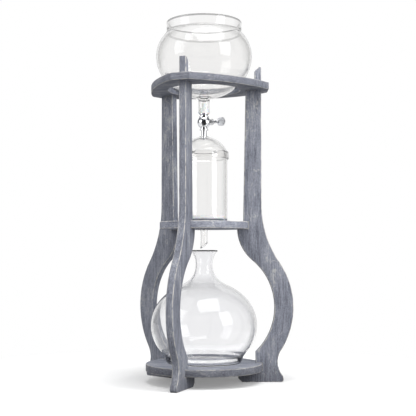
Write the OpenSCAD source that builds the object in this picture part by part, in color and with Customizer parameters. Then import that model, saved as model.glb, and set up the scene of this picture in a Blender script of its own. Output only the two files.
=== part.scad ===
// Cold drip coffee tower: three curved wooden legs carry a base board, a
// shelf and a top board. A water bowl with a drip valve hangs in the top
// board, a glass coffee chamber stands on the shelf and a globe carafe
// stands on the base. Millimetres, +Z up, origin on the floor at the
// tower's axis, the front leg towards -Y.

/* [Boards] */
// Thickness of the legs and of all three boards
board_t = 11; // [8:0.5:14]
// Underside of the base board above the floor
base_z = 18; // [15:1:24]
// Radius of the round base board
base_r = 89.5; // [86:0.5:94]
// Underside of the shelf above the floor
shelf_z = 235; // [230:1:245]
// Radius of the round shelf
shelf_r = 68.5; // [65:0.5:74]
// Radius of the shelf's hole round the drip tube
shelf_hole_r = 12; // [11.5:0.5:20]
// Underside of the top board above the floor
top_z = 451; // [446:1:470]
// Radius of the hole that carries the water bowl
top_hole_r = 56; // [52:1:62]
// Distance from the axis to the flat ends of the top board
top_end_r = 100; // [96:1:110]
// Width of each flat end of the top board
top_end_w = 29; // [22:1:40]
// Distance from the axis to the middle of the top board's two front sides
top_side_r = 80; // [74:1:86]
// Distance from the axis to the middle of the top board's back side
top_back_r = 75; // [70:1:84]

/* [Legs] */
// Angle between the front leg and each side leg; the carafe leaves at the back
leg_turn = 112; // [110:1:120]
// Distance from the axis to the upright's outer edge
upright_out_r = 89; // [86:0.5:94]
// Distance from the axis to the upright's inner edge under the top board
upright_in_r = 65; // [62:0.5:70]
// Distance from the axis to the upright's inner edge above the shelf
shelf_in_r = 61; // [56:0.5:64]
// Distance from the axis to the shoulder's inner edge under the shelf
shoulder_in_r = 51.5; // [45:0.5:56]
// Distance from the axis to the tongue's inner edge
tongue_in_r = 79; // [76:0.5:83]
// Top of the tongues above the floor
tongue_top_z = 488; // [478:1:500]
// Chamfer on the tongue's inner top corner
tongue_chamfer = 6.5; // [2:0.5:9]
// Height of the belly's centre above the floor
belly_z = 114.5; // [108:0.5:122]
// Distance from the axis to the centre of the belly's arcs
belly_r = 15.5; // [10:0.5:20]
// Radius of the belly's outer arc
belly_out = 122.5; // [119:0.5:128]
// Radius of the belly's inner arc
belly_in = 93.5; // [91:0.5:98]
// Radius of the outer arc between belly and upright
shoulder_out_arc = 158; // [130:2:190]
// Radius of the inner arc between belly and shoulder
shoulder_in_arc = 66; // [55:1:75]
// Distance from the axis to the waist above the foot
waist_r = 113.5; // [108:0.5:118]
// Radius of the waist's arc
waist_arc = 33; // [28:1:38]
// Distance from the axis to the tip of the toe
toe_r = 122.5; // [118:0.5:130]
// Rounding of the toe
toe_round = 4; // [2:0.5:6]
// Distance from the axis to the inner end of the foot
heel_r = 52.5; // [45:0.5:66]
// Chamfer under the inner end of the foot
heel_chamfer = 6; // [2:0.5:10]
// Distance from the axis to the leg's inner corner above the base board
corner_r = 79.5; // [76:0.5:84]

/* [Water bowl] */
// Largest outer radius of the bowl
bowl_r = 75; // [70:0.5:79]
// Depth of the bowl under its widest line
bowl_low = 66.5; // [60:0.5:72]
// Height of the ellipse above the widest line
bowl_high = 59.5; // [55:0.5:66]
// Outer radius of the rim
rim_r = 58.5; // [52:0.5:64]
// Height of the upright rim
rim_h = 16.5; // [10:0.5:24]
// Wall thickness of the bowl
bowl_wall = 2.6; // [2:0.1:3.2]
// Outer radius of the outlet neck
neck_r = 9; // [8.4:0.1:11]
// Length of the outlet neck below the bowl
neck_len = 22.5; // [18:0.5:30]
// Wall thickness of the outlet neck
neck_wall = 2.1; // [1.6:0.1:2.4]

/* [Drip valve] */
// Radius of the ball-shaped valve body
ball_r = 10.4; // [9.5:0.1:12]
// Distance from the end of the glass neck to the middle of the ball
ball_drop = 14.5; // [14:0.1:18]
// Outer radius of the inlet tube
inlet_r = 3.7; // [3.4:0.1:4.2]
// Length of the inlet tube above the end of the glass neck
inlet_up = 16; // [8:0.5:18]
// Outer radius of the outlet tube
outlet_r = 4.2; // [3.6:0.1:4.6]
// Length of the outlet tube below the ball's middle
outlet_len = 25; // [24:0.5:26.5]
// Bore of the tubes and of the valve, as a radius
bore_r = 1.6; // [1.2:0.1:1.8]
// Radius of the turning plug and its stem
plug_r = 2.6; // [2.3:0.1:2.9]
// Distance from the axis to the tip of the paddle
paddle_tip = 34.5; // [32:0.5:38]
// Length of the paddle
paddle_len = 12.5; // [10:0.5:14]
// Height of the paddle
paddle_h = 13; // [10:0.5:15]
// Thickness of the paddle
paddle_t = 3; // [2:0.1:4]
// Width of the gland nut across its flats
gland_af = 8.4; // [8:0.1:9.4]

/* [Cap and chamber] */
// Outer radius of the chamber's wall
chamber_r = 36.4; // [33:0.1:38]
// Height of the chamber above the shelf
chamber_h = 108; // [96:0.5:109]
// Wall thickness of the chamber
chamber_wall = 2.2; // [1.8:0.1:3]
// Outer radius of the drip tube
drip_r = 5.7; // [5.4:0.1:6.4]
// Length of the drip tube below the shelf's top
drip_len = 41.5; // [36:0.5:42]
// Height by which the bevel cuts the drip tube's end
drip_bevel = 9.5; // [5:0.5:14]
// Radius of the cap's dome
dome_r = 40; // [39:0.1:44]
// Thickness of the cap's skirt
cap_wall = 1.8; // [1.4:0.1:2.4]
// Height of the cap's skirt
skirt_h = 11; // [8:0.5:16]
// Radius of the opening in the top of the cap
cap_hole_r = 5.4; // [5.2:0.1:6]
// Radius of the ceramic filter disc
filter_r = 30.5; // [27:0.1:31]
// Thickness of the ceramic filter disc
filter_t = 5; // [3:0.5:8]

/* [Carafe] */
// Largest outer radius of the carafe
globe_r = 82; // [76:0.5:83]
// Height of the widest line above the base board
globe_z = 58; // [52:0.5:64]
// Height of the ellipse above the widest line
globe_high = 68; // [62:0.5:72]
// Height of the ellipse below the widest line
globe_low = 70; // [66:0.5:76]
// Outer radius of the neck's narrowest point
throat_r = 13.2; // [11:0.1:16]
// Height of the neck's narrowest point above the base board
throat_z = 150.5; // [146:0.5:154]
// Outer radius of the lip
lip_r = 21.5; // [18:0.5:26]
// Height of the carafe
carafe_h = 173; // [168:0.5:173.5]
// Wall thickness of the carafe
carafe_wall = 2.2; // [1.8:0.1:3]

/* [Clearances] */
// Gap between glass and what it stands on
seat_gap = 0.3; // [0.2:0.05:0.5]
// Gap round the chamber's rim inside the cap's skirt
cap_gap = 0.5; // [0.4:0.05:0.8]
// Running clearance of the plug
plug_gap = 0.05; // [0.03:0.01:0.08]

/* [Hidden] */
round_fn = 72;
small_fn = 48;
arc_step = 5;
wood = "#8b939e";
wood_light = "#a3abb5";
clear_glass = [0.88, 0.92, 0.93, 0.45];
chrome = "#c9ccd0";
satin = "#9a9ca0";
silicone = "#e6e6e0";
ceramic = "#ece6d8";

// Heights that follow from the driving sizes
base_top = base_z + board_t;
shelf_top = shelf_z + board_t;
top_top = top_z + board_t;
hole_bevel = 2;
// The bowl rests on the bevel of the top board's hole
seat_r = top_hole_r + hole_bevel / 2;
seat_z = top_top - hole_bevel / 2;
bowl_z = seat_z + bowl_low * sqrt(1 - pow(seat_r / bowl_r, 2)) + seat_gap * sqrt(2);
rim_z = bowl_z + bowl_high * sqrt(1 - pow(rim_r / bowl_r, 2));
neck_end = bowl_z - bowl_low - neck_len;
valve_z = neck_end - ball_drop;
chamber_base = shelf_top + seat_gap;
chamber_top = chamber_base + chamber_h;
carafe_base = base_top + seat_gap;

// Points on an arc of a circle, from angle a0 to angle a1
function arc(c, r, a0, a1) = ellipse_arc(c, r, r, a0, a1);

// Points on an arc of an ellipse, from parameter angle a0 to a1
function ellipse_arc(c, rx, ry, a0, a1) =
    let (n = max(2, ceil(abs(a1 - a0) / arc_step)))
    [for (i = [0:n]) let (a = a0 + (a1 - a0) * i / n) [c[0] + rx * cos(a), c[1] + ry * sin(a)]];

// A list in the opposite order
function reversed(list) = [for (i = [len(list) - 1:-1:0]) list[i]];

// Parameter angle at which an ellipse with half-width rx reaches radius r
function ellipse_angle(rx, r) = acos(min(1, r / rx));

// An outline without the points that repeat where one arc runs on into the next
function joined(points) = [
    for (i = [0:len(points) - 1])
        if (norm(points[i] - points[(i + 1) % len(points)]) > 0.01) points[i]
];

module revolve(outline, fn = round_fn) {
    rotate_extrude($fn = fn) polygon(joined(outline));
}

// ---------------------------------------------------------------- legs

// The outer edge runs over four arcs that touch each other: toe, waist,
// belly and shoulder. The inner edge follows the belly at its own radius.
belly = [belly_r, belly_z];
outer_shoulder = let (r = upright_out_r + shoulder_out_arc)
    [r, belly_z + sqrt(pow(belly_out + shoulder_out_arc, 2) - pow(r - belly_r, 2))];
outer_shoulder_a = atan2(outer_shoulder[1] - belly_z, outer_shoulder[0] - belly_r);
waist = let (r = waist_r + waist_arc)
    [r, belly_z - sqrt(pow(belly_out + waist_arc, 2) - pow(r - belly_r, 2))];
waist_a = atan2(waist[1] - belly_z, waist[0] - belly_r);
toe = [toe_r - toe_round, toe_round];
toe_end_a = 20;
toe_top = toe_round + toe_round * sin(toe_end_a);
// The waist's arc runs down to just inside the toe's tip, or to its top if that comes first
toe_a = 180 + min(acos(min(1, (waist[0] - toe_r + 1) / waist_arc)), asin((waist[1] - toe_top) / waist_arc));
inner_shoulder = let (r = shoulder_in_r + shoulder_in_arc)
    [r, belly_z + sqrt(pow(belly_in + shoulder_in_arc, 2) - pow(r - belly_r, 2))];
inner_shoulder_a = atan2(inner_shoulder[1] - belly_z, inner_shoulder[0] - belly_r);
// The inner shoulder starts under the shelf, part of the way round its arc if need be
shelf_a = asin(max(0, inner_shoulder[1] - shelf_z) / shoulder_in_arc);
corner_a = -acos((corner_r - belly_r) / belly_in);

function leg_outline() = concat(
    arc(toe, toe_round, -90, toe_end_a),
    arc(waist, waist_arc, toe_a, 180 + waist_a),
    arc(belly, belly_out, waist_a, outer_shoulder_a),
    arc(outer_shoulder, shoulder_out_arc, 180 + outer_shoulder_a, 180),
    [
        [upright_out_r, tongue_top_z - 1], [upright_out_r - 1, tongue_top_z],
        [tongue_in_r + tongue_chamfer, tongue_top_z],
        [tongue_in_r, tongue_top_z - tongue_chamfer],
        [tongue_in_r, top_z], [upright_in_r, top_z],
        [shelf_in_r, shelf_top], [shelf_r, shelf_top],
        [shelf_r, shelf_z], [inner_shoulder[0] - shoulder_in_arc * cos(shelf_a), shelf_z]
    ],
    arc(inner_shoulder, shoulder_in_arc, 180 + shelf_a, 180 + inner_shoulder_a),
    arc(belly, belly_in, inner_shoulder_a, corner_a),
    [
        [corner_r, base_top], [base_r, base_top], [base_r, base_z], [heel_r, base_z],
        [heel_r, heel_chamfer], [heel_r + heel_chamfer, 0]
    ]
);

// One leg, cut from a board that stands in a plane through the axis
module leg(turn) {
    color(wood) rotate([0, 0, turn - 90]) rotate([90, 0, 0])
        translate([0, 0, -board_t / 2]) linear_extrude(board_t) polygon(joined(leg_outline()));
}

module leg_front() { leg(0); }
module leg_right() { leg(leg_turn); }
module leg_left() { leg(-leg_turn); }

// -------------------------------------------------------------- boards

module base_board() {
    color(wood_light) translate([0, 0, base_z]) cylinder(h = board_t, r = base_r, $fn = round_fn);
}

module shelf_board() {
    color(wood_light) translate([0, 0, shelf_z]) difference() {
        cylinder(h = board_t, r = shelf_r, $fn = round_fn);
        translate([0, 0, -1]) cylinder(h = board_t + 2, r = shelf_hole_r, $fn = small_fn);
    }
}

// The top board has a flat end at each leg. Each of its three sides is one
// arc, from the corner of one end to the corner of the next, that passes
// through a given distance from the axis. half is half the angle between
// the two legs. The side's middle lies on +X here.
function side_arc(half, middle_r) = let (
    out = top_end_r * cos(half) + top_end_w / 2 * sin(half),
    along = top_end_r * sin(half) - top_end_w / 2 * cos(half),
    rise = middle_r - out,
    r = (along * along + rise * rise) / (2 * rise),
    a = asin(along / r)
) arc([middle_r - r, 0], r, -a, a);

function turned(points, a) = [for (p = points) [p[0] * cos(a) - p[1] * sin(a), p[0] * sin(a) + p[1] * cos(a)]];

function top_outline() = concat(
    turned(side_arc(leg_turn / 2, top_side_r), leg_turn / 2 - 90),
    turned(side_arc(180 - leg_turn, top_back_r), 90),
    turned(side_arc(leg_turn / 2, top_side_r), -leg_turn / 2 - 90)
);

module top_board() {
    color(wood_light) translate([0, 0, top_z]) difference() {
        linear_extrude(board_t) polygon(joined(top_outline()));
        translate([0, 0, -1]) cylinder(h = board_t + 2, r = top_hole_r, $fn = round_fn);
        translate([0, 0, board_t - hole_bevel])
            cylinder(h = hole_bevel, r1 = top_hole_r, r2 = top_hole_r + hole_bevel, $fn = round_fn);
        for (a = [0, leg_turn, -leg_turn]) rotate([0, 0, a - 90])
            translate([tongue_in_r, -board_t / 2, -1]) cube([upright_out_r - tongue_in_r, board_t, board_t + 2]);
    }
}

// ---------------------------------------------------------- water bowl

neck_in = neck_r - neck_wall;
rim_top = rim_z + rim_h;
flare = 6;
// The neck's flare touches the neck and ends on the bowl's underside
flare_out_r = neck_r + flare * 0.8;
function bowl_bottom_z(rx, ry, r) = bowl_z - ry * sqrt(1 - pow(r / rx, 2));

module water_bowl() {
    in_r = bowl_r - bowl_wall;
    in_low = bowl_low - bowl_wall;
    in_high = bowl_high - bowl_wall;
    rim_in = rim_r - bowl_wall;
    lip = bowl_wall / 2;
    outer = concat(
        [[neck_r, neck_end]],
        arc([neck_r + flare, bowl_bottom_z(bowl_r, bowl_low, flare_out_r) - flare * 0.9], flare, 180, 115),
        ellipse_arc([0, bowl_z], bowl_r, bowl_low, -ellipse_angle(bowl_r, flare_out_r + 1), 0),
        ellipse_arc([0, bowl_z], bowl_r, bowl_high, 0, ellipse_angle(bowl_r, rim_r)),
        [[rim_r, rim_top - 2 * lip]],
        arc([rim_r - lip + 0.4, rim_top - lip], lip, 0, 180)
    );
    inner = concat(
        ellipse_arc([0, bowl_z], in_r, in_high, ellipse_angle(in_r, rim_in), 0),
        ellipse_arc([0, bowl_z], in_r, in_low, 0, -ellipse_angle(in_r, neck_in + 3)),
        arc([neck_in + flare, bowl_bottom_z(in_r, in_low, neck_in) - flare], flare, 110, 180),
        [[neck_in, neck_end]]
    );
    color(clear_glass) revolve(concat(outer, inner));
}

// ---------------------------------------------------------- drip valve

collar_top = neck_end - 1.5;
collar_r = 7.6;
collar_ring_r = 8;
collar_bottom = valve_z + sqrt(pow(ball_r, 2) - pow(collar_ring_r - 1, 2));
seal_up = 7;
boss_end = ball_r + 0.8;
boss_r = 3.4;
gland_len = 4;
gland_end = boss_end + gland_len;
packing_len = 1.8;
packing_r = plug_r + 0.8;
plug_back = 5;
lower_ring_z = valve_z - ball_r - 1.3;
lower_ring_r = 7;
stem_end = paddle_tip - paddle_len;

// Silicone plug in the mouth of the neck, with a flange under the glass
module neck_seal() {
    color(silicone) revolve([
        [inlet_r, collar_top], [collar_r, collar_top], [neck_r - 0.6, neck_end - 0.6],
        [neck_r - 0.6, neck_end], [neck_in, neck_end], [neck_in - 0.3, neck_end + seal_up],
        [inlet_r, neck_end + seal_up]
    ], small_fn);
}

module inlet_tube() {
    tip = 1.6;
    color(chrome) revolve(concat(
        [[bore_r, collar_top - 4], [inlet_r, collar_top - 4]],
        arc([inlet_r - tip, neck_end + inlet_up - tip], tip, 0, 90),
        [[bore_r, neck_end + inlet_up]]
    ), small_fn);
}

// Flared cup that screws on to the ball and presses the seal on the neck
module top_collar() {
    waist_in = 1.9;
    mid = (collar_top + collar_bottom) / 2;
    color(chrome) revolve([
        [inlet_r, collar_top - 4], [inlet_r, collar_top], [collar_r, collar_top],
        [collar_r, collar_top - 0.8], [collar_r - waist_in, mid + 0.6], [collar_r - waist_in, mid - 0.4],
        [collar_ring_r, collar_bottom + 1], [collar_ring_r, collar_bottom],
        [bore_r, collar_bottom], [bore_r, collar_top - 4]
    ], small_fn);
}

// Ball with a boss for the gland nut; the plug's bore runs along X
module valve_body() {
    color(chrome) translate([0, 0, valve_z]) difference() {
        union() {
            revolve(concat(
                [[0, lower_ring_z - valve_z + 1], [5.4, lower_ring_z - valve_z + 1]],
                arc([0, 0], ball_r, -58, asin((collar_bottom - valve_z) / ball_r)),
                [[0, collar_bottom - valve_z]]
            ), round_fn);
            rotate([0, 90, 0]) cylinder(h = boss_end, r = boss_r + 1, $fn = small_fn);
        }
        translate([0, 0, -2 * ball_r]) cylinder(h = 4 * ball_r, r = bore_r, $fn = small_fn);
        translate([-plug_back - plug_gap, 0, 0]) rotate([0, 90, 0])
            cylinder(h = 2 * ball_r, r = plug_r + plug_gap, $fn = small_fn);
    }
}

module lower_collar() {
    color(chrome) revolve([
        [outlet_r, lower_ring_z - 1.4], [lower_ring_r - 1, lower_ring_z - 1.4],
        [lower_ring_r, lower_ring_z - 0.6], [lower_ring_r, lower_ring_z + 0.2],
        [5.4, lower_ring_z + 1], [outlet_r, lower_ring_z + 1]
    ], small_fn);
}

module outlet_tube() {
    tip_z = valve_z - outlet_len;
    color(chrome) revolve([
        [bore_r, lower_ring_z + 1], [outlet_r, lower_ring_z + 1], [outlet_r, tip_z + 1.2],
        [outlet_r - 1.2, tip_z], [bore_r, tip_z]
    ], small_fn);
}

module gland_nut() {
    color(chrome) translate([boss_end, 0, valve_z]) rotate([0, 90, 0]) difference() {
        intersection() {
            cylinder(h = gland_len, d = gland_af / cos(30), $fn = 6);
            union() {
                cylinder(h = gland_len - 0.7, r = gland_af, $fn = small_fn);
                translate([0, 0, gland_len - 0.7])
                    cylinder(h = 0.7, r1 = gland_af / cos(30) / 2, r2 = gland_af / 2 - 0.4, $fn = small_fn);
            }
        }
        translate([0, 0, -1]) cylinder(h = gland_len + 2, r = plug_r + plug_gap, $fn = small_fn);
        translate([0, 0, -1]) cylinder(h = packing_len + 1, r = packing_r, $fn = small_fn);
    }
}

module gland_packing() {
    color(silicone) translate([boss_end, 0, valve_z]) rotate([0, 90, 0]) difference() {
        cylinder(h = packing_len, r = packing_r, $fn = small_fn);
        translate([0, 0, -1]) cylinder(h = packing_len + 2, r = plug_r + plug_gap, $fn = small_fn);
    }
}

// Plug and stem in one, with the cross bore that opens and shuts the drip
module valve_plug() {
    color(chrome) translate([0, 0, valve_z]) difference() {
        translate([-plug_back, 0, 0]) rotate([0, 90, 0])
            cylinder(h = plug_back + stem_end, r = plug_r, $fn = small_fn);
        translate([0, 0, -plug_r - 1]) cylinder(h = 2 * plug_r + 2, r = bore_r - 0.2, $fn = small_fn);
    }
}

// Fan-shaped thumb piece with rounded lobes and a hollowed end
module valve_paddle() {
    lobe = 2.6;
    root_r = plug_r + 0.5;
    shoulder = paddle_h / 2 - root_r + 1;
    outline = concat(
        [[stem_end, -root_r]],
        arc([stem_end + 0.6 + shoulder, -paddle_h / 2 + shoulder], shoulder, 200, 270),
        arc([paddle_tip - lobe - 1.2, -paddle_h / 2 + lobe], lobe, 275, 355),
        arc([paddle_tip + paddle_h, 0], paddle_h, 180 + 8, 180 - 8),
        arc([paddle_tip - lobe - 1.2, paddle_h / 2 - lobe], lobe, 5, 85),
        arc([stem_end + 0.6 + shoulder, paddle_h / 2 - shoulder], shoulder, 90, 160),
        [[stem_end, root_r]]
    );
    color(satin) translate([0, 0, valve_z]) {
        rotate([90, 0, 0]) translate([0, 0, -paddle_t / 2]) linear_extrude(paddle_t) polygon(outline);
        translate([stem_end, 0, 0]) rotate([0, 90, 0]) cylinder(h = 2.6, r = root_r, $fn = small_fn);
    }
}

// ----------------------------------------------------- cap and chamber

skirt_in = chamber_r + cap_gap;
skirt_out = skirt_in + cap_wall;
ledge_z = chamber_top + seat_gap;
dome_step = 2;
dome_start = acos((skirt_out - dome_step) / dome_r);
dome_z = ledge_z - dome_r * sin(dome_start);
cap_neck_r = cap_hole_r + 2;

module chamber_cap() {
    dome_in = dome_r - cap_wall - 0.4;
    neck_a = acos(cap_neck_r / dome_r);
    hole_a = acos(cap_hole_r / dome_in);
    color(clear_glass) revolve(concat(
        [[skirt_in, ledge_z - skirt_h], [skirt_out, ledge_z - skirt_h], [skirt_out, ledge_z - 1]],
        arc([0, dome_z], dome_r, dome_start, neck_a),
        [[cap_neck_r, dome_z + dome_r * sin(neck_a) + 1], [cap_hole_r, dome_z + dome_r * sin(neck_a) + 1]],
        arc([0, dome_z], dome_in, hole_a, acos((chamber_r - chamber_wall) / dome_in)),
        [[chamber_r - chamber_wall, ledge_z], [skirt_in, ledge_z]]
    ));
}

chamber_in = chamber_r - chamber_wall;
chamber_floor = chamber_base + 2.6;
drip_in = drip_r - 2;
drip_end = chamber_base - drip_len;
foot_round = 4;
tube_round = 5;

// Straight glass with a flat floor and a drip tube cut at a slant
module coffee_chamber() {
    outer = concat(
        [[drip_r, drip_end]],
        arc([drip_r + tube_round, chamber_base - tube_round], tube_round, 180, 90),
        arc([chamber_r - foot_round, chamber_base + foot_round], foot_round, -90, 0),
        arc([chamber_r - chamber_wall / 2, chamber_top - chamber_wall / 2], chamber_wall / 2, 0, 180)
    );
    inner = concat(
        arc([chamber_in - 2, chamber_floor + 2], 2, 0, -90),
        arc([drip_in + 3, chamber_floor - 3], 3, 90, 180),
        [[drip_in, drip_end]]
    );
    color(clear_glass) difference() {
        revolve(concat(outer, inner));
        translate([-drip_r - 1, -drip_r - 1, drip_end])
            rotate([0, -atan2(drip_bevel, 2 * drip_r), 0])
            translate([0, 0, -3 * drip_bevel]) cube([8 * drip_r, 2 * drip_r + 2, 3 * drip_bevel]);
    }
}

module filter_disc() {
    color(ceramic) translate([0, 0, chamber_floor + 0.5]) difference() {
        cylinder(h = filter_t, r = filter_r, $fn = round_fn);
        translate([0, 0, filter_t - 0.8]) cylinder(h = 1, r = filter_r - 4, $fn = round_fn);
    }
}

module filter_gasket() {
    out_r = chamber_in - seat_gap;
    color(silicone) translate([0, 0, chamber_floor]) revolve([
        [filter_r - 3, 0], [out_r - 2, 0], [out_r, 2], [out_r, filter_t + 1],
        [filter_r, filter_t + 1], [filter_r, 0.5], [filter_r - 3, 0.5]
    ]);
}

// -------------------------------------------------------------- carafe

module carafe() {
    widest = carafe_base + globe_z;
    foot_r = 57;
    foot_ring = 5;
    foot_edge = 1.5;
    floor_z = carafe_base + foot_edge + carafe_wall;
    heel_z = 12;
    shoulder_r = 28;
    lip = carafe_wall / 2 + 0.3;
    in_r = globe_r - carafe_wall;
    in_high = globe_high - carafe_wall;
    in_low = globe_low - carafe_wall;
    throat = [throat_r, carafe_base + throat_z];
    low_a = asin((globe_z - heel_z) / globe_low);
    in_low_a = asin((globe_z - heel_z + 1) / in_low);
    shoulder_a = ellipse_angle(globe_r, shoulder_r);
    shoulder_z = widest + globe_high * sin(shoulder_a);
    outer = concat(
        [
            [0, carafe_base + foot_edge], [foot_r - 2 * foot_ring, carafe_base + foot_edge],
            [foot_r - foot_ring, carafe_base], [foot_r, carafe_base]
        ],
        ellipse_arc([0, widest], globe_r, globe_low, -low_a, 0),
        ellipse_arc([0, widest], globe_r, globe_high, 0, shoulder_a),
        neck_curve([shoulder_r, shoulder_z], throat, 0),
        mouth_curve(throat, 0),
        arc([lip_r - lip, carafe_base + carafe_h - lip], lip, -20, 160)
    );
    inner = concat(
        reversed(mouth_curve(throat, carafe_wall)),
        reversed(neck_curve([shoulder_r, shoulder_z], throat, carafe_wall)),
        ellipse_arc([0, widest], in_r, in_high, ellipse_angle(in_r, shoulder_r - carafe_wall), 0),
        ellipse_arc([0, widest], in_r, in_low, 0, -in_low_a),
        [[foot_r - 4, floor_z + 0.5], [foot_r - 2 * foot_ring, floor_z], [0, floor_z]]
    );
    color(clear_glass) revolve(concat(outer, inner));
}

// Smooth step between the globe's shoulder and the throat, drawn in by inset
function neck_curve(from, to, inset) = [for (i = [1:7]) let (
        t = i / 8,
        r = to[0] + (from[0] - to[0]) * pow(1 - t, 2.1),
        z = from[1] + (to[1] - from[1]) * t)
    [r - inset, z - inset * 0.3 * (1 - t)]];

// The mouth flares from the throat to the lip
function mouth_curve(from, inset) = [for (i = [0:6]) let (
        t = i / 6,
        r = from[0] + (lip_r - 1.4 - from[0]) * pow(t, 1.7),
        z = from[1] + (carafe_base + carafe_h - 2.4 - from[1]) * t)
    [r - inset * (1 - 0.15 * t), z + inset * 0.25 * t]];

leg_front();
leg_right();
leg_left();
base_board();
shelf_board();
top_board();
water_bowl();
neck_seal();
inlet_tube();
top_collar();
valve_body();
lower_collar();
outlet_tube();
gland_nut();
gland_packing();
valve_plug();
valve_paddle();
chamber_cap();
coffee_chamber();
filter_disc();
filter_gasket();
carafe();
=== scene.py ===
"""Looks of a cold drip coffee tower: a blue-grey washed wooden stand, blown
glass bowl, dome, chamber and carafe, and a polished drip valve. The sizes
repeat those of the CAD part, in millimetres; mesh() turns them into metres."""

import math

import bmesh
import bpy
from mathutils import Matrix, Vector, noise

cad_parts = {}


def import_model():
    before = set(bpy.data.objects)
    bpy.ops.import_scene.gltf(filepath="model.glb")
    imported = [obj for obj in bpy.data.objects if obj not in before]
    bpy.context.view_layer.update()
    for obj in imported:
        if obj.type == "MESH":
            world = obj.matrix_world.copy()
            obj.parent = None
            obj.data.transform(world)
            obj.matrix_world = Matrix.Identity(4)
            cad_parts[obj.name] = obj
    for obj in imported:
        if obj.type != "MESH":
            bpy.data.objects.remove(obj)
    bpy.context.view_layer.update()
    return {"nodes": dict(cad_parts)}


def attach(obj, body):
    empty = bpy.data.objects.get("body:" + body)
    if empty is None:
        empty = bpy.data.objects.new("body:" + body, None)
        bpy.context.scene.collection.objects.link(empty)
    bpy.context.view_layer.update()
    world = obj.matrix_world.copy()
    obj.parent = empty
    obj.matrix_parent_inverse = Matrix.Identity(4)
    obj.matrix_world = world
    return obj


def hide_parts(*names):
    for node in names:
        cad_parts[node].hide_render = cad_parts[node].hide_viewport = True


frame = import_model()

# ------------------------------------------------------------------ sizes

# Millimetres and degrees: R is a radius, Z the height of an underside
BOARD = 11
BASE_Z, BASE_R = 18, 89.5
SHELF_Z, SHELF_R, SHELF_HOLE = 235, 68.5, 12
TOP_Z, TOP_HOLE, HOLE_BEVEL = 451, 56, 2
TOP_END, TOP_END_W, TOP_SIDE, TOP_BACK = 100, 29, 80, 75
LEG_TURN = 112
BASE_TOP, SHELF_TOP, TOP_TOP = BASE_Z + BOARD, SHELF_Z + BOARD, TOP_Z + BOARD
# Room between pieces that stand on one another
GAP = 0.3
# How much the boards' edges are rounded, and the top board's
ROUNDED, TOP_ROUNDED = 0.9, 0.7
# Edges that turn by more than this stay sharp
SHARP = math.radians(34)
# A wall inside this radius is a tube's, where its normal's Z is under this
NARROW_R, UPRIGHT = 24, 0.7
# How fast the painted shade on a tube's wall darkens it towards its outline
TUBE_POWER = 4
# How fine the blown glass's dents are, round it and, in mm, up it
DENTS_ROUND, DENTS_UP = 1.6, 34

# ---------------------------------------------------------------- outlines


def ellipse(c, rx, rz, a0, a1, step=2.5):
    """Points (r, z) on an arc of an ellipse, from parameter angle a0 to a1."""
    n = max(2, math.ceil(abs(a1 - a0) / step))
    angles = [math.radians(a0 + (a1 - a0) * i / n) for i in range(n + 1)]
    return [(c[0] + rx * math.cos(a), c[1] + rz * math.sin(a)) for a in angles]


def arc(c, r, a0, a1, step=2.5):
    """Points on an arc of a circle, with step degrees between them at most."""
    return ellipse(c, r, r, a0, a1, step)


def reach(rx, r):
    """Parameter angle at which an ellipse of half-width rx comes to radius r."""
    return math.degrees(math.acos(min(1, r / rx)))


def joined(points):
    """The outline without points that repeat."""
    return [p for i, p in enumerate(points) if math.dist(p, points[(i + 1) % len(points)]) > 0.02]


# ------------------------------------------------------------------ meshes


def mesh(name, bm, scale=0.001):
    """Makes an object of bm, smooth but for its sharp edges."""
    bmesh.ops.recalc_face_normals(bm, faces=bm.faces)
    for face in bm.faces:
        face.smooth = True
    for edge in bm.edges:
        edge.smooth = len(edge.link_faces) == 2 and edge.calc_face_angle() < SHARP
    data = bpy.data.meshes.new(name)
    bm.to_mesh(data)
    bm.free()
    data.transform(Matrix.Scale(scale, 4))
    piece = bpy.data.objects.new(name, data)
    bpy.context.scene.collection.objects.link(piece)
    return piece


def spin(outline, turns=144, wobble=0.0, lines=()):
    """Turns a closed (r, z) outline round the Z axis. Wobble is the blown
    glass's unevenness, in millimetres, and only ever takes material off.
    Lines are (lowest z, highest z, share) zones, such as a fire-polished lip, that get bands of painted
    shade, darker than the thicker glass there makes them; and narrow marks the walls of tubes, which get
    painted shade over more of their width."""
    bm = bmesh.new()
    thick_glass_shade = bm.faces.layers.float.new("thick_glass_shade")
    narrow = bm.faces.layers.float.new("narrow")
    rings = []
    for r, z in joined(outline):
        if r < 1e-6:
            rings.append([bm.verts.new((0, 0, z))])
            continue
        ring = []
        for i in range(turns):
            a = 2 * math.pi * i / turns
            way = Vector((math.cos(a), math.sin(a), 0))
            dent = wobble * (noise.noise(way * DENTS_ROUND + Vector((0, 0, z / DENTS_UP))) - 1) / 2
            ring.append(bm.verts.new(way * (r + dent) + Vector((0, 0, z))))
        rings.append(ring)
    for a, b in zip(rings, rings[1:] + rings[:1]):
        for i in range(turns):
            j = (i + 1) % turns
            corners = [a[i % len(a)], a[j % len(a)], b[j % len(b)], b[i % len(b)]]
            corners = list(dict.fromkeys(corners))
            if len(corners) > 2:
                face = bm.faces.new(corners)
                z = sum(v.co.z for v in corners) / len(corners)
                r = math.hypot(corners[0].co.x, corners[0].co.y)
                face.normal_update()
                face[thick_glass_shade] = max([share for low, high, share in lines if low < z < high], default=0.0)
                face[narrow] = 1.0 if r < NARROW_R and abs(face.normal.z) < UPRIGHT else 0.0
    return bm


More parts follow.
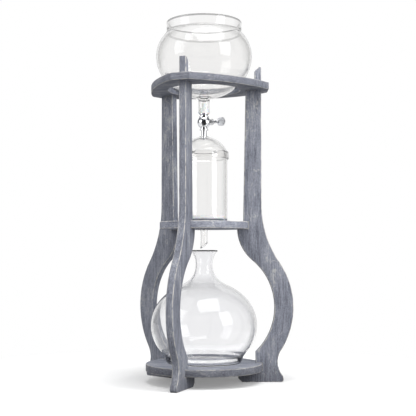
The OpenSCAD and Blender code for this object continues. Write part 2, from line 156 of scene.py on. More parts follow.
def board(name, outlines, bevel, place):
    """A flat board with rounded edges, from an outline and its holes. The
    curve's bevel grows outwards, so the outlines are drawn in by as much."""
    curve = bpy.data.curves.new(name, "CURVE")
    curve.dimensions = "2D"
    curve.fill_mode = "BOTH"
    curve.extrude = BOARD / 2 - bevel
    curve.bevel_depth = bevel
    curve.bevel_resolution = 2
    curve.offset = -bevel
    for outline in outlines:
        spline = curve.splines.new("POLY")
        points = joined(outline)
        spline.points.add(len(points) - 1)
        spline.use_cyclic_u = True
        for point, (x, y) in zip(spline.points, points):
            point.co = (x, y, 0, 1)
    holder = bpy.data.objects.new(name, curve)
    bpy.context.scene.collection.objects.link(holder)
    bpy.context.view_layer.update()
    graph = bpy.context.evaluated_depsgraph_get()
    data = bpy.data.meshes.new_from_object(holder.evaluated_get(graph))
    bpy.data.objects.remove(holder)
    bm = bmesh.new()
    bm.from_mesh(data)
    bpy.data.meshes.remove(data)
    bmesh.ops.remove_doubles(bm, verts=bm.verts, dist=0.01)
    # The rounded edges are marked, for the worn finish on them
    worn = bm.faces.layers.float.new("wear")
    for face in bm.faces:
        face.normal_update()
        face[worn] = 1.0 if 0.1 < abs(face.normal.z) < 0.98 else 0.0
    bmesh.ops.transform(bm, matrix=place, verts=bm.verts)
    return bm


# ---------------------------------------------------------------- materials


def srgb(r, g, b):
    """A colour written as 0 to 255 on screen, in the shader's own scale."""
    return tuple(((v / 255 + 0.055) / 1.055) ** 2.4 if v > 10 else v / 3294 for v in (r, g, b)) + (1,)


class Nodes:
    """The node tree of a material or of the world, with the steps they share."""

    def __init__(self, owner, output="ShaderNodeOutputMaterial", coords="Object"):
        self.owner = owner
        owner.use_nodes = True
        self.tree = owner.node_tree
        self.tree.nodes.clear()
        self.out = self.new(output)
        self.coords = self.new("ShaderNodeTexCoord").outputs[coords]

    def new(self, kind, **values):
        node = self.tree.nodes.new(kind)
        for key, value in values.items():
            setattr(node, key, value)
        return node

    def feed(self, socket, value):
        """Links a socket to another node's output, or sets it to a constant."""
        if isinstance(value, bpy.types.NodeSocket):
            self.tree.links.new(value, socket)
        else:
            socket.default_value = value

    def scaled(self, scale):
        """The object's coordinates, in metres, stretched by scale."""
        node = self.new("ShaderNodeMapping")
        self.feed(node.inputs["Vector"], self.coords)
        self.feed(node.inputs["Scale"], scale)
        return node.outputs[0]

    def axes(self, vector):
        """The vector's parts, by the names X, Y and Z."""
        node = self.new("ShaderNodeSeparateXYZ")
        self.feed(node.inputs[0], vector)
        return node.outputs

    def attribute(self, name):
        """A mark that a mesh's faces carry."""
        return self.new("ShaderNodeAttribute", attribute_name=name).outputs["Fac"]

    def noise(self, vector, scale, detail, rough=0.55, distort=0.0):
        node = self.new("ShaderNodeTexNoise")
        self.feed(node.inputs["Vector"], vector)
        values = {"Scale": scale, "Detail": detail, "Roughness": rough, "Distortion": distort}
        for key, value in values.items():
            self.feed(node.inputs[key], value)
        return node.outputs["Fac"]

    def ramp(self, value, stops):
        """Greys or colours between stops of (position, grey or colour)."""
        node = self.new("ShaderNodeValToRGB")
        elements = node.color_ramp.elements
        while len(elements) < len(stops):
            elements.new(0.5)
        for element, (position, colour) in zip(elements, stops):
            element.position = position
            element.color = colour if isinstance(colour, tuple) else (colour, colour, colour, 1)
        self.feed(node.inputs["Fac"], value)
        return node.outputs["Color"]

    def mix(self, factor, a, b, blend="MIX"):
        node = self.new("ShaderNodeMix", data_type="RGBA", blend_type=blend)
        for socket, value in ((node.inputs["Factor"], factor), (node.inputs[6], a), (node.inputs[7], b)):
            self.feed(socket, value)
        return node.outputs[2]

    def math(self, operation, a, b=0.0, clamp=False):
        node = self.new("ShaderNodeMath", operation=operation, use_clamp=clamp)
        for socket, value in zip(node.inputs, (a, b)):
            self.feed(socket, value)
        return node.outputs[0]

    def between(self, value, low, high, start=0.0, stop=1.0):
        """Runs from low to high while the value runs from start to stop."""
        node = self.new("ShaderNodeMapRange")
        values = {"Value": value, "From Min": start, "From Max": stop, "To Min": low, "To Max": high}
        for key, value in values.items():
            self.feed(node.inputs[key], value)
        return node.outputs[0]

    def bump(self, height, distance, strength):
        node = self.new("ShaderNodeBump")
        for key, value in {"Height": height, "Distance": distance, "Strength": strength}.items():
            self.feed(node.inputs[key], value)
        return node.outputs[0]

    def principled(self, **values):
        """A Principled shader; underscores stand for spaces."""
        node = self.new("ShaderNodeBsdfPrincipled")
        for key, value in values.items():
            self.feed(node.inputs[key.replace("_", " ")], value)
        return node.outputs[0]

    def emission(self, strength):
        node = self.new("ShaderNodeEmission")
        self.feed(node.inputs["Strength"], strength)
        return node.outputs[0]

    def mixed_shader(self, factor, a, b):
        node = self.new("ShaderNodeMixShader")
        for socket, value in zip(node.inputs, (factor, a, b)):
            self.feed(socket, value)
        return node.outputs[0]

    def surface(self, shader):
        """Puts the shader on the output and returns the finished material."""
        self.feed(self.out.inputs["Surface"], shader)
        return self.owner


def wood(name, along, painted_lightness=1.0, top=1.0):
    """Grey washed wood with its grain along one axis (0, 1 or 2): fine pale
    streaks and specks over darker bands, the odd swirl, and pale worn edges.
    Painted light and shade: tone scales every colour, so that each board's copy of the wood looks lit or
    shaded, and top scales those of the faces that look up, as light from above; the colour also darkens
    towards the floor."""
    n = Nodes(bpy.data.materials.new(name))

    def along_grain(pull):
        return n.scaled([pull if axis == along else 1 for axis in range(3)])

    streak = n.noise(along_grain(0.06), 640, 5, 0.7, 0.3)
    speck = n.noise(along_grain(0.45), 900, 3, 0.75)
    band = n.noise(along_grain(0.1), 120, 4, 0.6, 1.2)
    blotch = n.noise(along_grain(0.6), 34, 5, 0.62)
    swirl = n.noise(along_grain(0.4), 40, 3, 0.45, 3.0)

    level = n.math("MULTIPLY", streak, 0.5)
    for part, share in ((speck, 0.4), (band, 0.22), (blotch, 0.26)):
        level = n.math("ADD", level, n.math("MULTIPLY", part, share))
    level = n.math("SUBTRACT", level, 0.19)

    def shade(r, g, b):
        return srgb(r * painted_lightness, g * painted_lightness, b * painted_lightness)

    colour = n.ramp(
        level,
        [
            (0.32, shade(72, 75, 84)),
            (0.43, shade(110, 113, 124)),
            (0.50, shade(129, 132, 143)),
            (0.57, shade(147, 150, 160)),
            (0.70, shade(196, 197, 201)),
        ],
    )
    lines = n.ramp(swirl, [(0.480, 0.0), (0.497, 0.6), (0.503, 0.6), (0.520, 0.0)])
    where = n.ramp(blotch, [(0.50, 0.0), (0.58, 1.0)])
    colour = n.mix(n.math("MULTIPLY", lines, where), colour, shade(196, 195, 190))

    # Painted light: faces that look up are lightened by top, as if lit from above
    normal = n.new("ShaderNodeNewGeometry").outputs["Normal"]
    painted_top_light = n.ramp(n.axes(normal)["Z"], [(0.7, 0.0), (0.9, 1.0)])
    colour = n.mix(painted_top_light, colour, n.mix(1.0, colour, (top, top, top, 1), "MULTIPLY"))

    # Painted shade: the colour darkens towards the floor, on the feet and the base board
    painted_foot_shade = n.ramp(n.axes(n.coords)["Z"], [(0.014, 0.72), (0.034, 1.0)])
    colour = n.mix(1.0, colour, painted_foot_shade, "MULTIPLY")

    patchy = n.ramp(n.noise(along_grain(0.5), 210, 5, 0.7), [(0.40, 0.1), (0.56, 0.9)])
    colour = n.mix(n.math("MULTIPLY", n.attribute("wear"), patchy), colour, shade(206, 203, 196))

    height = n.math("ADD", n.math("MULTIPLY", streak, 0.6), n.math("MULTIPLY", speck, 0.4))
    shader = n.principled(
        Base_Color=colour,
        Roughness=n.ramp(streak, [(0.3, 0.8), (0.7, 0.6)]),
        Normal=n.bump(height, 0.0005, 0.8),
        Specular_IOR_Level=0.3,
    )
    return n.surface(shader)


def glass(name, body, rim, power, shine=0.5):
    """Clear glass. Each face passes the colour body head on and rim edge on: painted shade that draws
    the dark outline, standing in for the darker room that the edges mirror and bend, as the longer way
    through the wall darkens it only a little. Shine under 1 holds the mirror image down, so that the
    outline isn't lost in a white room."""
    n = Nodes(bpy.data.materials.new(name))
    # Painted shade: faces that turn edge on, the walls of tubes and the marked bands darken towards the
    # rim colour
    weight = n.new("ShaderNodeLayerWeight")
    weight.inputs["Blend"].default_value = 0.5
    edge_on = weight.outputs["Facing"]
    tube = n.math("MULTIPLY", n.math("POWER", edge_on, TUBE_POWER), n.attribute("narrow"))
    edge = n.math("MAXIMUM", n.math("POWER", edge_on, power), tube)
    edge = n.math("MAXIMUM", edge, n.attribute("thick_glass_shade"))
    blown = n.noise(n.scaled((1, 1, 1.7)), 26, 2, 0.4)
    shader = n.principled(
        Base_Color=n.mix(edge, body, rim),
        Roughness=0.0,
        IOR=1.46,
        Specular_Tint=(shine, shine, shine, 1),
        Transmission_Weight=1.0,
        Normal=n.bump(blown, 0.0004, 0.18),
    )
    # Lamps pass straight through, so that the glass throws a thin shadow
    through = n.new("ShaderNodeBsdfTransparent")
    through.inputs["Color"].default_value = (0.965, 0.97, 0.975, 1)
    rays = n.new("ShaderNodeLightPath").outputs
    lamps = n.math("MAXIMUM", rays["Is Shadow Ray"], rays["Is Diffuse Ray"])
    return n.surface(n.mixed_shader(lamps, shader, through.outputs[0]))


def metal(name, colour, low, high, grain, depth):
    """Metal whose polish runs from roughness low to high in fine patches."""
    n = Nodes(bpy.data.materials.new(name))
    patches = n.noise(n.coords, grain, 5, 0.65)
    duller = tuple(v * 0.72 for v in colour[:3]) + (1,)
    shader = n.principled(
        Base_Color=n.mix(n.ramp(patches, [(0.4, 0.0), (0.7, 0.25)]), colour, duller),
        Metallic=1.0,
        Roughness=n.ramp(patches, [(0.35, low), (0.7, high)]),
        Normal=n.bump(patches, depth, 0.3),
    )
    return n.surface(shader)


def silicone(name):
    """Milky silicone with a faint cloud in it."""
    n = Nodes(bpy.data.materials.new(name))
    cloud = n.noise(n.coords, 420, 4, 0.6)
    shader = n.principled(
        Base_Color=n.ramp(cloud, [(0.35, srgb(240, 240, 236)), (0.7, srgb(250, 250, 247))]),
        Roughness=n.ramp(cloud, [(0.3, 0.38), (0.7, 0.5)]),
        IOR=1.41,
        Subsurface_Weight=0.2,
        Subsurface_Scale=0.002,
        Normal=n.bump(cloud, 0.0001, 0.3),
    )
    return n.surface(shader)


def ceramic(name):
    """Coarse filter ceramic, with darker pores."""
    n = Nodes(bpy.data.materials.new(name))
    grit = n.noise(n.coords, 1500, 5, 0.7)
    pores = n.new("ShaderNodeTexVoronoi")
    n.feed(pores.inputs["Vector"], n.coords)
    n.feed(pores.inputs["Scale"], 900)
    speck = n.ramp(pores.outputs["Distance"], [(0.10, 0.7), (0.30, 0.0)])
    colour = n.ramp(grit, [(0.35, srgb(214, 206, 188)), (0.7, srgb(238, 233, 220))])
    shader = n.principled(
        Base_Color=n.mix(speck, colour, srgb(176, 166, 146)),
        Roughness=n.ramp(grit, [(0.3, 0.8), (0.7, 0.92)]),
        Normal=n.bump(grit, 0.0002, 0.5),
    )
    return n.surface(shader)


# Lit and shaded copies of one wood: each board's tone, and the base's lighter top, are painted light and
# shade
WOOD_UP = wood("washed_wood_upright", 2)
WOOD_BASE = wood("washed_wood_base", 0, painted_lightness=0.87, top=1.6)
WOOD_SHELF = wood("washed_wood_shelf", 0, painted_lightness=1.14)
WOOD_TOP = wood("washed_wood_top", 0, painted_lightness=0.93)
# The second colour of each glass is the painted shade of its outline
BOWL_GLASS = glass("bowl_glass", (0.94, 0.937, 0.933, 1), (0.08, 0.083, 0.087, 1), 4)
CARAFE_GLASS = glass("carafe_glass", (0.935, 0.935, 0.943, 1), (0.08, 0.083, 0.09, 1), 4)
FLOOR_GLASS = glass("carafe_floor_glass", (0.97, 0.97, 0.975, 1), (0.97, 0.97, 0.975, 1), 6, shine=1.0)
CHROME = metal("polished_metal", srgb(226, 227, 230), 0.04, 0.12, grain=900, depth=0.00004)
SATIN = metal("satin_metal", srgb(214, 215, 218), 0.25, 0.5, grain=620, depth=0.0006)
SILICONE = silicone("clear_silicone")
CERAMIC = ceramic("filter_ceramic")

# ------------------------------------------------------------------- stand


def dress(piece, material, body, slot, *nodes):
    """Finishes a piece, rides it on its body and puts it in its nodes' place."""
    piece.data.materials.append(material)
    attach(piece, body)
    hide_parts(*nodes)


# The leg: its straight edges, the tongue's corner, then the arcs of the belly,
# the shoulders, the waist and the toe, and the foot's inner corners
UPRIGHT_OUT, UPRIGHT_IN, SHELF_IN, SHOULDER_IN = 89, 65, 61, 51.5
TONGUE_IN, TONGUE_TOP, TONGUE_CHAMFER = 79, 488, 6.5
BELLY, BELLY_OUT, BELLY_IN = (15.5, 114.5), 122.5, 93.5
OUT_ARC, IN_ARC, WAIST_R, WAIST_ARC = 158, 66, 113.5, 33
TOE_R, TOE_STEP, TOE_ROUND, HEEL_R, HEEL_CHAMFER, CORNER_R = 122.5, 1, 4, 52.5, 6, 79.5


def touching(r, other, side):
    """Centre, at radius r, of an arc that touches the belly's arc."""
    z = BELLY[1] + side * math.sqrt(other**2 - (r - BELLY[0]) ** 2)
    return (r, z), math.degrees(math.atan2(z - BELLY[1], r - BELLY[0]))


def leg_outline():
    """The leg's side view, as (radius, height), from its toe up its outer edge
    and down its inner one."""
    outer, outer_a = touching(UPRIGHT_OUT + OUT_ARC, BELLY_OUT + OUT_ARC, 1)
    waist, waist_a = touching(WAIST_R + WAIST_ARC, BELLY_OUT + WAIST_ARC, -1)
    inner, inner_a = touching(SHOULDER_IN + IN_ARC, BELLY_IN + IN_ARC, 1)
    shelf_a = math.degrees(math.asin(max(0, inner[1] - SHELF_Z) / IN_ARC))
    toe_a = 180 + math.degrees(math.acos((waist[0] - TOE_R + TOE_STEP) / WAIST_ARC))
    corner_a = -reach(BELLY_IN, CORNER_R - BELLY[0])
    return (
        arc((TOE_R - TOE_ROUND, TOE_ROUND), TOE_ROUND, -90, 20, 10)
        + arc(waist, WAIST_ARC, toe_a, 180 + waist_a)
        + arc(BELLY, BELLY_OUT, waist_a, outer_a, 1.5)
        + arc(outer, OUT_ARC, 180 + outer_a, 180, 1.5)
        + [(UPRIGHT_OUT, TONGUE_TOP), (TONGUE_IN + TONGUE_CHAMFER, TONGUE_TOP)]
        + [(TONGUE_IN, TONGUE_TOP - TONGUE_CHAMFER), (TONGUE_IN, TOP_Z), (UPRIGHT_IN, TOP_Z)]
        + [(SHELF_IN, SHELF_TOP), (SHELF_R, SHELF_TOP), (SHELF_R, SHELF_Z)]
        + arc(inner, IN_ARC, 180 + shelf_a, 180 + inner_a)
        + arc(BELLY, BELLY_IN, inner_a, corner_a, 1.5)
        + [(CORNER_R, BASE_TOP), (BASE_R, BASE_TOP), (BASE_R, BASE_Z), (HEEL_R, BASE_Z)]
        + [(HEEL_R, HEEL_CHAMFER), (HEEL_R + HEEL_CHAMFER, 0)]
    )


for name, turn in (("leg_front", 0), ("leg_right", LEG_TURN), ("leg_left", -LEG_TURN)):
    stand_up = Matrix.Rotation(math.radians(turn - 90), 4, "Z") @ Matrix.Rotation(math.pi / 2, 4, "X")
    piece = mesh(name + "_board", board(name, [leg_outline()], ROUNDED, stand_up))
    dress(piece, WOOD_UP, "frame", "wood_frame", name)


def circle(r, turns=180):
    """A circle round the axis, of that many points."""
    return arc((0, 0), r, 0, 360 - 360 / turns, 360 / turns)


def turned(points, a):
    """The points turned by a degrees round the axis."""
    c, s = math.cos(math.radians(a)), math.sin(math.radians(a))
    return [(x * c - y * s, x * s + y * c) for x, y in points]


def side_arc(half, middle):
    """One side of the top board, from the flat end at one leg to the next."""
    c, s = math.cos(math.radians(half)), math.sin(math.radians(half))
    out, along = TOP_END * c + TOP_END_W / 2 * s, TOP_END * s - TOP_END_W / 2 * c
    rise = middle - out
    r = (along**2 + rise**2) / (2 * rise)
    a = math.degrees(math.asin(along / r))
    return arc((middle - r, 0), r, -a, a, 1.5)


def top_outline():
    """The top board, with a curved side between each two legs."""
    front, back = side_arc(LEG_TURN / 2, TOP_SIDE), side_arc(180 - LEG_TURN, TOP_BACK)
    return turned(front, LEG_TURN / 2 - 90) + turned(back, 90) + turned(front, -LEG_TURN / 2 - 90)


def tongue_hole(a):
    """The hole that the tongue of the leg at angle a passes through."""
    near, far, side = TONGUE_IN, UPRIGHT_OUT, BOARD / 2
    return turned([(near, -side), (far, -side), (far, side), (near, side)], a)


def level(z):
    """Lays a board with its underside at height z."""
    return Matrix.Translation((0, 0, z + BOARD / 2))


piece = mesh("base_board_disc", board("base", [circle(BASE_R)], ROUNDED, level(BASE_Z)))
dress(piece, WOOD_BASE, "frame", "wood_frame", "base_board")
shelf_outlines = [circle(SHELF_R), circle(SHELF_HOLE, 72)]
piece = mesh("shelf_board_disc", board("shelf", shelf_outlines, ROUNDED, level(SHELF_Z)))
dress(piece, WOOD_SHELF, "frame", "wood_frame", "shelf_board")

tongue_holes = [tongue_hole(a - 90) for a in (0, LEG_TURN, -LEG_TURN)]
bm = board("top", [top_outline(), circle(TOP_HOLE)] + tongue_holes, TOP_ROUNDED, level(TOP_Z))
# The bowl's seat: the hole's upper edge opens out into a chamfer
for v in bm.verts:
    r = math.hypot(v.co.x, v.co.y)
    if r < TOP_HOLE + 2 * TOP_ROUNDED and v.co.z > TOP_TOP - 1.1 * TOP_ROUNDED:
        t = (v.co.z - TOP_TOP + TOP_ROUNDED) / TOP_ROUNDED
        v.co.x *= (TOP_HOLE + HOLE_BEVEL * t) / r
        v.co.y *= (TOP_HOLE + HOLE_BEVEL * t) / r
        v.co.z = TOP_TOP - HOLE_BEVEL * (1 - t)
dress(mesh("top_board_plate", bm), WOOD_TOP, "frame", "wood_frame", "top_board")

# ------------------------------------------------------------------- glass

# Chamfers and roundings at the ends of the glass walls
EDGE = 0.5
BOWL_R, BOWL_LOW, BOWL_HIGH, RIM_R, RIM_H, BOWL_WALL = 75, 66.5, 59.5, 58.5, 16.5, 2.6
NECK_R, NECK_LEN, NECK_WALL, FLARE = 9, 22.5, 2.1, 6
# How far out and down the flare goes, as shares of its radius
FLARE_OUT, FLARE_DOWN = 0.8, 0.9
# The curve from the globe into the rim, as steps from the rim's radius and foot,
# and how far the lip bulges out
RIM_ROOT, RIM_ROOT_IN, LIP_BULGE = [(0.1, 0.9), (0, 2.2)], 1.4, 0.4
SEAT_R = TOP_HOLE + HOLE_BEVEL / 2
BOWL_Z = TOP_TOP - HOLE_BEVEL / 2 + BOWL_LOW * math.sqrt(1 - (SEAT_R / BOWL_R) ** 2) + GAP * math.sqrt(2)
RIM_Z = BOWL_Z + BOWL_HIGH * math.sqrt(1 - (RIM_R / BOWL_R) ** 2)
NECK_END = BOWL_Z - BOWL_LOW - NECK_LEN
NECK_IN = NECK_R - NECK_WALL


def under(rx, rz, r):
    """Height of the bowl's lower half, as an ellipse of rx and rz, at radius r."""
    return BOWL_Z - rz * math.sqrt(1 - (r / rx) ** 2)


def bowl_outline():
    """The bowl's glass, from its neck's end up the outside and down the inside."""
    in_r, in_low, in_high = BOWL_R - BOWL_WALL, BOWL_LOW - BOWL_WALL, BOWL_HIGH - BOWL_WALL
    rim_in, lip, top = RIM_R - BOWL_WALL, BOWL_WALL / 2, RIM_Z + RIM_H
    half_up = RIM_Z + RIM_H / 2
    flare_out = NECK_R + FLARE * FLARE_OUT
    flare_z = under(BOWL_R, BOWL_LOW, flare_out) - FLARE * FLARE_DOWN
    return (
        [(NECK_R - EDGE, NECK_END), (NECK_R, NECK_END + EDGE)]
        + arc((NECK_R + FLARE, flare_z), FLARE, 180, 115, 8)
        + ellipse((0, BOWL_Z), BOWL_R, BOWL_LOW, -reach(BOWL_R, flare_out + 1), 0)
        + ellipse((0, BOWL_Z), BOWL_R, BOWL_HIGH, 0, reach(BOWL_R, RIM_R) - 1)
        + [(RIM_R + r, RIM_Z + z) for r, z in RIM_ROOT]
        + [(RIM_R, half_up), (RIM_R, top - 2 * lip)]
        + arc((RIM_R - lip + LIP_BULGE, top - lip), lip, 0, 180, 15)
        + [(rim_in, top - 2 * lip), (rim_in, half_up), (rim_in, RIM_Z + RIM_ROOT_IN)]
        + ellipse((0, BOWL_Z), in_r, in_high, reach(in_r, rim_in) - 1, 0)
        + ellipse((0, BOWL_Z), in_r, in_low, 0, -reach(in_r, NECK_IN + 3))
        + arc((NECK_IN + FLARE, under(in_r, in_low, NECK_IN) - FLARE), FLARE, 110, 180, 8)
        + [(NECK_IN, NECK_END)]
    )


# Bands of painted shade at the fire-polished lip, and at the joint of the rim and the globe
BOWL_LINES = [(RIM_Z + RIM_H - 2.2, RIM_Z + RIM_H + 1, 0.55), (RIM_Z - 0.4, RIM_Z + 2.4, 0.3)]
piece = mesh("bowl_glass", spin(bowl_outline(), wobble=0.25, lines=BOWL_LINES))
dress(piece, BOWL_GLASS, "bowl", "clear_glass", "water_bowl")

CHAMBER_R, CHAMBER_H, CHAMBER_WALL, CHAMBER_FLOOR = 36.4, 108, 2.2, 2.6
DRIP_R, DRIP_LEN, DRIP_BEVEL, DRIP_WALL = 5.7, 41.5, 9.5, 2
# Radii of the curves from wall to floor and from floor to drip tube, out and in
HEEL_OUT, HEEL_IN, ROOT_OUT, ROOT_IN = 4, 2, 5, 3
DOME_R, CAP_WALL, SKIRT_H, CAP_HOLE, CAP_GAP, DOME_STEP = 40, 1.8, 11, 5.4, 0.5, 2
CHAMBER_Z = SHELF_TOP + GAP
CHAMBER_TOP = CHAMBER_Z + CHAMBER_H
CHAMBER_IN = CHAMBER_R - CHAMBER_WALL
FLOOR_Z = CHAMBER_Z + CHAMBER_FLOOR
# Heights of the rings of the chamber's straight wall
WALL_RINGS = range(270, 351, 16)


def cap_outline():
    """The dome with its hole, and the skirt that hangs over the chamber's lip."""
    skirt_in = CHAMBER_R + CAP_GAP
    skirt_out = skirt_in + CAP_WALL
    ledge = CHAMBER_TOP + GAP
    skirt_end = ledge - SKIRT_H
    start = reach(DOME_R, skirt_out - DOME_STEP)
    dome_z = ledge - DOME_R * math.sin(math.radians(start))
    dome_in = DOME_R - CAP_WALL - 0.4
    neck = CAP_HOLE + 2
    top = dome_z + DOME_R * math.sin(math.radians(reach(DOME_R, neck))) + 1
    return (
        [(skirt_in + 0.3, skirt_end), (skirt_out - EDGE, skirt_end), (skirt_out, skirt_end + EDGE)]
        + arc((skirt_out - 1, ledge - 1), 1, 0, 60, 15)
        + arc((0, dome_z), DOME_R, start, reach(DOME_R, neck))
        + arc((neck - EDGE, top - EDGE), EDGE, 0, 90, 20)
        + arc((CAP_HOLE + EDGE, top - EDGE), EDGE, 90, 180, 20)
        + arc((0, dome_z), dome_in, reach(dome_in, CAP_HOLE), reach(dome_in, CHAMBER_IN))
        + [(CHAMBER_IN, ledge), (skirt_in, ledge), (skirt_in, ledge - SKIRT_H / 2)]
    )


piece = mesh("cap_glass", spin(cap_outline(), wobble=0.1))
dress(piece, BOWL_GLASS, "cap", "clear_glass", "chamber_cap")


def chamber_mesh():
    """The chamber and its drip tube, turned too long and cut at a slant."""
    drip_in, end = DRIP_R - DRIP_WALL, CHAMBER_Z - DRIP_LEN
    low, middle = end - 2 * DRIP_BEVEL, (end + CHAMBER_Z) / 2
    lip = CHAMBER_WALL / 2
    outline = (
        [(DRIP_R, low), (DRIP_R, middle)]
        + arc((DRIP_R + ROOT_OUT, CHAMBER_Z - ROOT_OUT), ROOT_OUT, 180, 90, 10)
        + arc((CHAMBER_R - HEEL_OUT, CHAMBER_Z + HEEL_OUT), HEEL_OUT, -90, 0, 8)
        + [(CHAMBER_R, z) for z in WALL_RINGS[:-1]]
        + arc((CHAMBER_R - lip, CHAMBER_TOP - lip), lip, 0, 180, 15)
        + [(CHAMBER_IN, z) for z in reversed(WALL_RINGS)]
        + arc((CHAMBER_IN - HEEL_IN, FLOOR_Z + HEEL_IN), HEEL_IN, 0, -90, 10)
        + arc((drip_in + ROOT_IN, FLOOR_Z - ROOT_IN), ROOT_IN, 90, 180, 10)
        + [(drip_in, middle), (drip_in, low)]
    )
    bm = spin(outline, 112)
    slope = math.atan2(DRIP_BEVEL, 2 * DRIP_R)
    cut = bmesh.ops.bisect_plane(
        bm,
        geom=bm.verts[:] + bm.edges[:] + bm.faces[:],
        plane_co=(-DRIP_R, 0, end),
        plane_no=(-math.sin(slope), 0, math.cos(slope)),
        clear_inner=True,
    )
    edges = [e for e in cut["geom_cut"] if isinstance(e, bmesh.types.BMEdge)]
    bmesh.ops.bridge_loops(bm, edges=edges)
    return bm


dress(mesh("chamber_glass", chamber_mesh()), BOWL_GLASS, "chamber", "clear_glass", "coffee_chamber")

GLOBE_R, GLOBE_Z, GLOBE_HIGH, GLOBE_LOW, CARAFE_WALL = 82, 58, 68, 70, 2.2
THROAT_R, THROAT_Z, LIP_R, CARAFE_H = 13.2, 150.5, 21.5, 173
FOOT_R, FOOT_RING, FOOT_EDGE, HEEL_Z, SHOULDER_R = 57, 5, 1.5, 12, 38
# Radii of the foot ring's curves, and how far in the outer one's centre is
RING_IN, RING_OUT, RING_BACK = 2, 3, 2
# Half of what the lip is thicker than the wall
LIP_EXTRA = 0.3
# How far the neck's curve runs straight on from the shoulder and the throat
SHOULDER_PULL, THROAT_PULL = 12, 20
# The mouth's flare ends this far in from the lip's edge and below its top
MOUTH_IN, MOUTH_DOWN, MOUTH_CURVE = 1.4, 2.4, 2.2
# The inner heel, as steps from the foot's radius and the floor's height
INNER_HEEL = [(1.2, 3), (-0.4, 0.8), (-2.5, -0.4), (-5, -0.8)]
CARAFE_Z = BASE_TOP + GAP


def carafe_outline():
    """The carafe's glass, from its foot up the outside and down the inside."""
    widest = CARAFE_Z + GLOBE_Z
    floor = CARAFE_Z + FOOT_EDGE + CARAFE_WALL
    lip = CARAFE_WALL / 2 + LIP_EXTRA
    in_r, in_high, in_low = GLOBE_R - CARAFE_WALL, GLOBE_HIGH - CARAFE_WALL, GLOBE_LOW - CARAFE_WALL
    throat = (THROAT_R, CARAFE_Z + THROAT_Z)
    low_a = math.degrees(math.asin((GLOBE_Z - HEEL_Z) / GLOBE_LOW))
    in_low_a = math.degrees(math.asin((GLOBE_Z - HEEL_Z + 1) / in_low))
    shoulder_a = reach(GLOBE_R, SHOULDER_R)
    shoulder = (SHOULDER_R, widest + GLOBE_HIGH * math.sin(math.radians(shoulder_a)))

    a = math.radians(shoulder_a)
    slope = math.atan2(GLOBE_HIGH * math.cos(a), -GLOBE_R * math.sin(a))
    bend = [
        shoulder,
        (shoulder[0] + SHOULDER_PULL * math.cos(slope), shoulder[1] + SHOULDER_PULL * math.sin(slope)),
        (throat[0], throat[1] - THROAT_PULL),
        throat,
    ]

    def neck_point(t):
        shares = ((1 - t) ** 3, 3 * t * (1 - t) ** 2, 3 * t * t * (1 - t), t**3)
        return tuple(sum(share * p[axis] for share, p in zip(shares, bend)) for axis in (0, 1))

    def mouth_point(t):
        return (
            throat[0] + (LIP_R - MOUTH_IN - throat[0]) * t**MOUTH_CURVE,
            throat[1] + (CARAFE_Z + CARAFE_H - MOUTH_DOWN - throat[1]) * t,
        )

    outside = [neck_point(i / 20) for i in range(1, 20)] + [mouth_point(i / 14) for i in range(15)]
    inside = []
    for before, point, after in zip([shoulder] + outside, outside, outside[1:] + outside[-1:]):
        way = math.atan2(after[1] - before[1], after[0] - before[0])
        inside.append((point[0] - CARAFE_WALL * math.sin(way), point[1] + CARAFE_WALL * math.cos(way)))

    return (
        [(0, CARAFE_Z + FOOT_EDGE), (FOOT_R - 2 * FOOT_RING, CARAFE_Z + FOOT_EDGE)]
        + arc((FOOT_R - FOOT_RING + RING_IN, CARAFE_Z + RING_IN), RING_IN, -130, -90, 10)
        + arc((FOOT_R - RING_BACK, CARAFE_Z + RING_OUT), RING_OUT, -90, -30, 10)
        + ellipse((0, widest), GLOBE_R, GLOBE_LOW, -low_a, 0)
        + ellipse((0, widest), GLOBE_R, GLOBE_HIGH, 0, shoulder_a)
        + outside
        + arc((LIP_R - lip, CARAFE_Z + CARAFE_H - lip), lip, -20, 160, 12)
        + list(reversed(inside))
        + ellipse((0, widest), in_r, in_high, reach(in_r, SHOULDER_R - CARAFE_WALL), 0)
        + ellipse((0, widest), in_r, in_low, 0, -in_low_a)
        + [(FOOT_R + r, floor + z) for r, z in INNER_HEEL]
        + [(0, floor + INNER_HEEL[-1][1])]
    )


# A band of painted shade at the foot's lower edge
CARAFE_LINES = [(CARAFE_Z - 1, CARAFE_Z + 1.2, 0.3)]
piece = mesh("carafe_glass", spin(carafe_outline(), wobble=0.25, lines=CARAFE_LINES))
dress(piece, CARAFE_GLASS, "carafe", "clear_glass", "carafe")
# The carafe's floor mirrors the white room at a low angle
piece.data.materials.append(FLOOR_GLASS)
floor_top, floor_r = CARAFE_Z + HEEL_Z - 3, FOOT_R + 3
for face in piece.data.polygons:
    if face.center.z < 0.001 * floor_top and face.center.xy.length < 0.001 * floor_r:
        face.material_index = 1

# ------------------------------------------------------- CAD nodes that stay

FINISHES = {
    CHROME: ("top_collar", "valve_body", "lower_collar", "outlet_tube", "gland_nut", "valve_plug"),
    SATIN: ("valve_paddle",),
    SILICONE: ("neck_seal", "inlet_tube", "gland_packing", "filter_gasket"),
    CERAMIC: ("filter_disc",),
}
for material, names in FINISHES.items():
    for name in names:
        node = frame["nodes"][name]
        node.data.materials.clear()
        node.data.materials.append(material)

# ---------------------------------------------------- floor, light, camera

# The studio and the camera are turned round Z by this, from the front leg
HEADING = math.radians(20.65)
# What polished faces see round the room, from its front to its far side: the
# dark end of the studio, white walls, a dark gap, the white sweep
ROOM = [(0.0, 0.02), (0.22, 0.02), (0.26, 1.0), (0.56, 1.0), (0.60, 0.04), (0.76, 0.04), (0.81, 1.0)]
# Upward share of a direction where the walls turn into the white ceiling
CEILING = (0.86, 0.94)


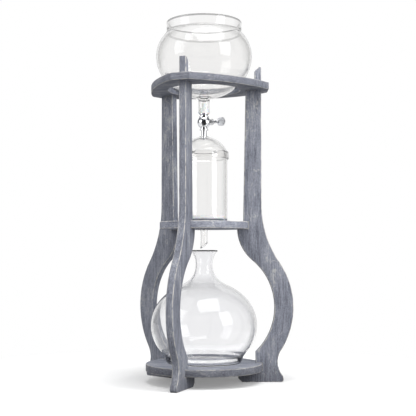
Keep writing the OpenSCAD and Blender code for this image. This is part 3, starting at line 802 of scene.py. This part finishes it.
def facing(n, way):
    """0 for a direction towards the front of the studio, 1 for the opposite
    one, from the world's own X and Y."""
    turn = n.new("ShaderNodeVectorRotate", rotation_type="Z_AXIS")
    n.feed(turn.inputs["Vector"], way)
    n.feed(turn.inputs["Angle"], -HEADING)
    axes = n.axes(turn.outputs[0])
    angle = n.math("ABSOLUTE", n.math("ARCTAN2", axes["X"], axes["Y"]))
    return n.math("SUBTRACT", 1.0, n.math("DIVIDE", angle, math.pi))


def sheet_of_floor():
    """A wide pale floor that is white to the camera and keeps the shadows."""
    bm = bmesh.new()
    bmesh.ops.create_circle(bm, cap_ends=True, radius=9, segments=96)
    floor = mesh("studio_floor", bm, scale=1.0)
    n = Nodes(bpy.data.materials.new("studio_floor"))
    rays = n.new("ShaderNodeLightPath").outputs
    length = n.new("ShaderNodeVectorMath", operation="LENGTH")
    n.feed(length.inputs[0], n.coords)
    away = length.outputs["Value"]

    pale = n.ramp(n.noise(n.coords, 3, 2), [(0.3, 0.84), (0.7, 0.86)])
    matt = n.new("ShaderNodeBsdfDiffuse")
    n.feed(matt.inputs["Color"], n.mix(rays["Is Diffuse Ray"], pale, (0.33, 0.33, 0.34, 1)))
    seen = n.math("MAXIMUM", rays["Is Camera Ray"], rays["Is Transmission Ray"])
    seen = n.math("MAXIMUM", seen, rays["Is Glossy Ray"])
    # Painted light and shade: to the camera the floor glows weakly near the stand and more farther out,
    # which sets how dark its shadow looks and how it fades
    glow = n.ramp(away, [(0.06, 0.22), (0.12, 0.10), (0.40, 0.6)])
    glowing = n.new("ShaderNodeAddShader")
    n.feed(glowing.inputs[0], matt.outputs[0])
    n.feed(glowing.inputs[1], n.emission(n.math("MULTIPLY", seen, glow)))

    # Away from the object's shadow the floor is plain white
    clear = n.math("MULTIPLY", seen, n.ramp(away, [(0.30, 0.0), (0.50, 1.0)]))
    plain = n.mixed_shader(clear, glowing.outputs[0], n.emission(1.0))

    # Polished faces see the dark end of the room on the floor too
    mirrored = n.math("SUBTRACT", rays["Is Glossy Ray"], rays["Is Transmission Ray"], clamp=True)
    mirrored = n.math("MULTIPLY", n.ramp(away, [(0.16, 0.0), (0.22, 1.0)]), mirrored)
    room = n.ramp(facing(n, n.coords), ROOM[:3])
    dark = n.math("MULTIPLY", n.math("SUBTRACT", 1.0, room), mirrored)
    floor.data.materials.append(n.surface(n.mixed_shader(dark, plain, n.emission(ROOM[0][1]))))


def world():
    """White behind the object, the room for polished faces, and a softer
    even light on everything."""
    n = Nodes(bpy.data.worlds.new("studio"), "ShaderNodeOutputWorld", "Generated")
    rays = n.new("ShaderNodeLightPath").outputs
    room = n.ramp(facing(n, n.coords), ROOM)
    polished = n.between(n.axes(n.coords)["Z"], room, 1.0, *CEILING)
    strength = n.between(rays["Is Camera Ray"], 0.4, 1.0)
    strength = n.between(rays["Is Glossy Ray"], strength, polished)
    strength = n.between(rays["Is Transmission Ray"], strength, 1.0)
    background = n.new("ShaderNodeBackground")
    n.feed(background.inputs["Color"], (1, 1, 1, 1))
    n.feed(background.inputs["Strength"], strength)
    bpy.context.scene.world = n.surface(background.outputs[0])


def softbox(name, place, aim, size, power):
    """A rectangular lamp, turned to what it lights."""
    light = bpy.data.lights.new(name, "AREA")
    light.shape = "RECTANGLE"
    light.size, light.size_y = size
    light.energy = power
    lamp = bpy.data.objects.new(name, light)
    lamp.location = place
    lamp.rotation_euler = (Vector(aim) - Vector(place)).to_track_quat("-Z", "Y").to_euler()
    bpy.context.scene.collection.objects.link(lamp)


def camera():
    """The photograph's camera, found from the stand's edges in it: metres
    from the axis, aside of it and above the floor."""
    pitch, distance, aside, height = math.radians(2.83), 1.4307, 0.0062, 0.1969
    data = bpy.data.cameras.new("camera")
    data.sensor_width = 36
    data.lens = 79.9
    data.clip_end = 60
    cam = bpy.data.objects.new("camera", data)
    cam.location = (
        distance * math.sin(HEADING) + aside * math.cos(HEADING),
        -distance * math.cos(HEADING) + aside * math.sin(HEADING),
        height,
    )
    cam.rotation_euler = (math.pi / 2 + pitch, 0, HEADING)
    bpy.context.scene.collection.objects.link(cam)
    bpy.context.scene.camera = cam


sheet_of_floor()
world()
# Place, aim and size in metres, power in watts
softbox("top_light", (0.35, -0.45, 1.35), (0, 0, 0.25), (1.0, 1.0), 14)
softbox("right_light", (1.6, -0.5, 0.8), (0, 0, 0.3), (0.8, 1.2), 16)
softbox("left_light", (-1.1, -1.3, 1.0), (0, 0, 0.3), (0.8, 1.2), 10)
camera()
bpy.context.scene.view_settings.view_transform = "Standard"
